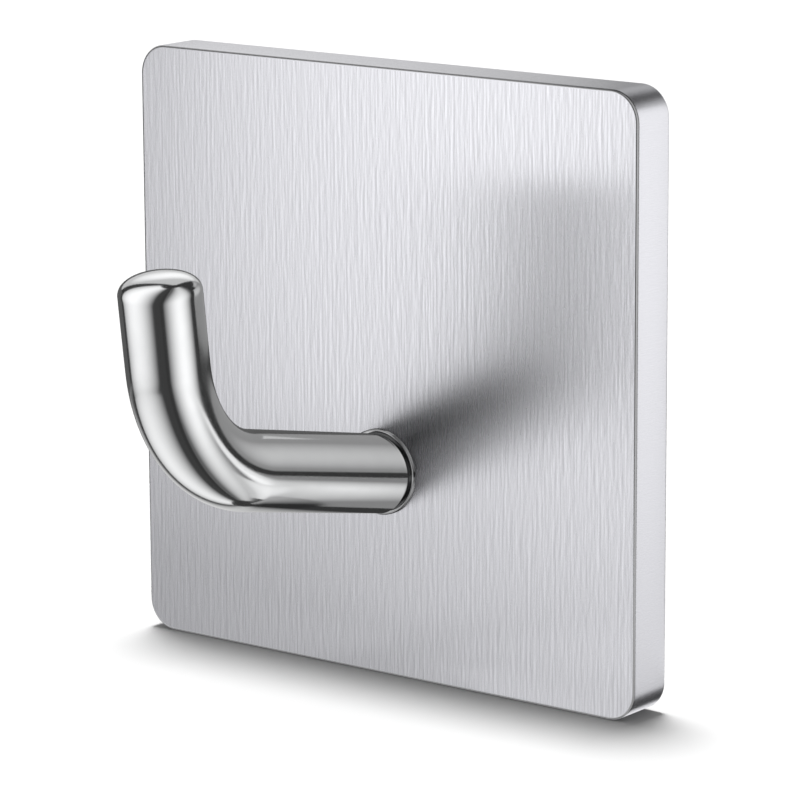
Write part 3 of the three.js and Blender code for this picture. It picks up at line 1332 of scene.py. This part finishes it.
@dataclass(frozen=True)
class Studio:
    """A white floor in soft light, and cards for the metal to reflect."""

    floor_height: float = -23.02 * MM
    floor_reach: float = 3.0
    floor_colour: Colour = (0.97, 0.97, 0.97)
    sky: float = 0.27
    lamp: float = 2.72
    lamp_spread: float = math.radians(13)
    lamp_tilt: float = math.radians(-8)
    lamp_turn: float = math.radians(45)
    cards: tuple[Card, ...] = (
        DomeCard("drape", Glow(0.045, 0.045), (-180, 180), (-89.9, 90), inset=0.0),
        DomeCard("rear_drape", Glow(0.045, 0.045, pale=False), (131, 209), (-77, 20), inset=0.2 * MM),
        DomeCard(
            "front_softbox",
            Glow(1.49, 0.06, spot=(-0.25, 0.2), upright_fall=0.5),
            azimuth=(-65, 31),
            elevation=(-20, 80),
        ),
        DomeCard(
            "front_table_card",
            Glow(1.2, 0.06, spot=(-0.25, -0.2), upright_fall=0.3),
            azimuth=(-65, 31),
            elevation=(-86, -20),
        ),
        DomeCard("right_softbox", Glow(1.45, 0.15, power=1.7), (39, 118), (-86, 83)),
        DomeCard(
            "top_softbox",
            Glow(1.35, 0.72, spot=(-0.11, -0.2), upright_fall=2.0),
            azimuth=(-167, -85),
            elevation=(38, 88),
        ),
        DomeCard(
            "left_softbox",
            Glow(0.75, 0.12, spot=(0.0, -0.55), upright_fall=1.0),
            azimuth=(-150, -75),
            elevation=(-86, 38),
        ),
        DomeCard(
            "rear_softbox",
            Glow(0.73, 0.35, spot=(-0.65, 0.2), upright_fall=1.0, mirrored_again=0.45),
            azimuth=(134, 209),
            elevation=(9, 51),
            inset=0.5 * MM,
        ),
        DomeCard("corner_softbox", Glow(0.6, 0.35), (152, 193), (51, 62)),
        DomeCard("bend_table_card", Glow(1.4, 0.7, spot=(0.0, 0.1)), (115, 131), (-80, -3)),
        DomeCard(
            "rear_table_card",
            Glow(1.1, 0.3, spot=(-0.67, -0.53), upright_fall=1.3, power=1.2, pale=False),
            azimuth=(131, 188),
            elevation=(-77, -4),
        ),
        DomeCard("bend_foot_card", Glow(1.2, 0.75, spot=(0.4, 0.0)), (96, 131), (-82, -58), inset=1.5 * MM),
        DomeCard(
            "under_arm_card",
            Glow(0.5, 0.03, spot=(-0.8, 0.0), upright_fall=0.0, power=1.0),
            azimuth=(131, 209),
            elevation=(-88, -77),
        ),
        FlatCard(
            "rim_card",
            Glow(
                1.2,
                0.85,
                spot=(0.0, 0.8),
                sideways_fall=0.0,
                upright_fall=0.55,
                pale=False,
                seen_within=12 * MM,
            ),
            corner=(25.2 * MM, -1.8 * MM, -23 * MM),
            width=(0.0, 5.4 * MM, 0.0),
            height=(0.0, 0.0, 46.5 * MM),
        ),
        FlatCard(
            "foot_card",
            Glow(0.6, 0.6, pale=False, seen_within=0.6 * MM),
            corner=(-22 * MM, -8 * MM, -23.008 * MM),
            width=(44.4 * MM, 0.0, 0.0),
            height=(0.0, 4.5 * MM, 0.0),
        ),
        FlatCard(
            "corner_shade",
            Glow(0.03, 0.03, pale=False, seen_within=12 * MM),
            corner=(22.4 * MM, -4 * MM, -22.99 * MM),
            width=(3.6 * MM, 0.0, 0.0),
            height=(0.0, 9 * MM, 0.0),
        ),
    )

    def build(self) -> None:
        """Makes the floor, the lights and the cards."""
        self.build_floor()
        self.build_sky()
        self.build_lamp()
        for card in self.cards:
            card.build()

    def build_floor(self) -> None:
        """A flat white floor."""
        reach = np.array([-self.floor_reach, 0.0, self.floor_reach])
        x, y = np.meshgrid(reach, reach)
        points = np.stack([x, y, np.full_like(x, self.floor_height)], axis=-1)
        material, board = new_material("floor")
        white = board.add("BsdfDiffuse", {"Color": (*self.floor_colour, 1.0)})
        board.add("OutputMaterial", {"Surface": white.outputs["BSDF"]})
        stage_object("floor", points, material)

    def build_sky(self) -> None:
        """A white world, dimmer where it lights things than where it is seen."""
        world = bpy.data.worlds.new("sky")
        world.use_nodes = True
        bpy.context.scene.world = world
        board = NodeBoard(world.node_tree)
        path = board.add("LightPath").outputs
        seen = board.math("MAXIMUM", path["Is Camera Ray"], path["Is Glossy Ray"])
        seen = board.math("MAXIMUM", seen, path["Is Transmission Ray"])
        strength = board.spread(seen, self.sky, 1.0)
        light = board.add("Background", {"Color": (1.0, 1.0, 1.0, 1.0), "Strength": strength})
        board.add("OutputWorld", {"Surface": light.outputs["Background"]})

    def build_lamp(self) -> None:
        """A soft lamp from above, behind and to the left, which isn't reflected."""
        data = bpy.data.lights.new("overhead_lamp", "SUN")
        data.energy = self.lamp
        data.angle = self.lamp_spread
        made = bpy.data.objects.new(data.name, data)
        made.rotation_euler = (self.lamp_tilt, 0.0, self.lamp_turn)
        made.visible_glossy = False
        bpy.context.scene.collection.objects.link(made)


@dataclass(frozen=True)
class PhotoCamera:
    """The camera at the photograph's viewing angle."""

    place: Place = (188.85 * MM, -246.64 * MM, 64.53 * MM)
    azimuth: float = math.radians(37.6555)
    elevation: float = math.radians(12.21)
    roll: float = math.radians(-0.306)
    lens: float = 190.29
    sensor: float = 36.0
    nearest: float = 1 * MM

    def build(self) -> None:
        """Makes the scene's camera from the directions of its right, its top and its view."""
        sin_a, cos_a = math.sin(self.azimuth), math.cos(self.azimuth)
        sin_e, cos_e = math.sin(self.elevation), math.cos(self.elevation)
        forward = np.array([-sin_a * cos_e, cos_a * cos_e, -sin_e])
        level = np.array([cos_a, sin_a, 0.0])
        top = np.cross(level, forward)
        right = math.cos(self.roll) * level + math.sin(self.roll) * top
        above = math.cos(self.roll) * top - math.sin(self.roll) * level
        data = bpy.data.cameras.new("photo_camera")
        data.lens = self.lens
        data.sensor_width = self.sensor
        data.clip_start = self.nearest
        made = bpy.data.objects.new(data.name, data)
        made.matrix_world = Matrix(np.column_stack([right, above, -forward, self.place]).tolist()).to_4x4()
        bpy.context.scene.collection.objects.link(made)
        bpy.context.scene.camera = made


def main() -> None:
    """Builds and dresses the hook's pieces in order, then the stage and the camera."""
    logging.basicConfig(level=logging.INFO, format="%(name)s: %(message)s")
    bpy.context.scene.view_settings.view_transform = "Standard"
    pieces = (
        FacePlate(),
        HookBar(),
        RootCollar(),
        HookScrew(),
        LockWasher(),
        BackingPlate(),
        AdhesivePad(),
    )
    for piece in pieces:
        made = piece.build()
        LOG.info("%s: %d faces, %s", made.name, len(made.data.polygons), piece.finish.slot.value)
    Studio().build()
    PhotoCamera().build()


if __name__ == "__main__":
    main()
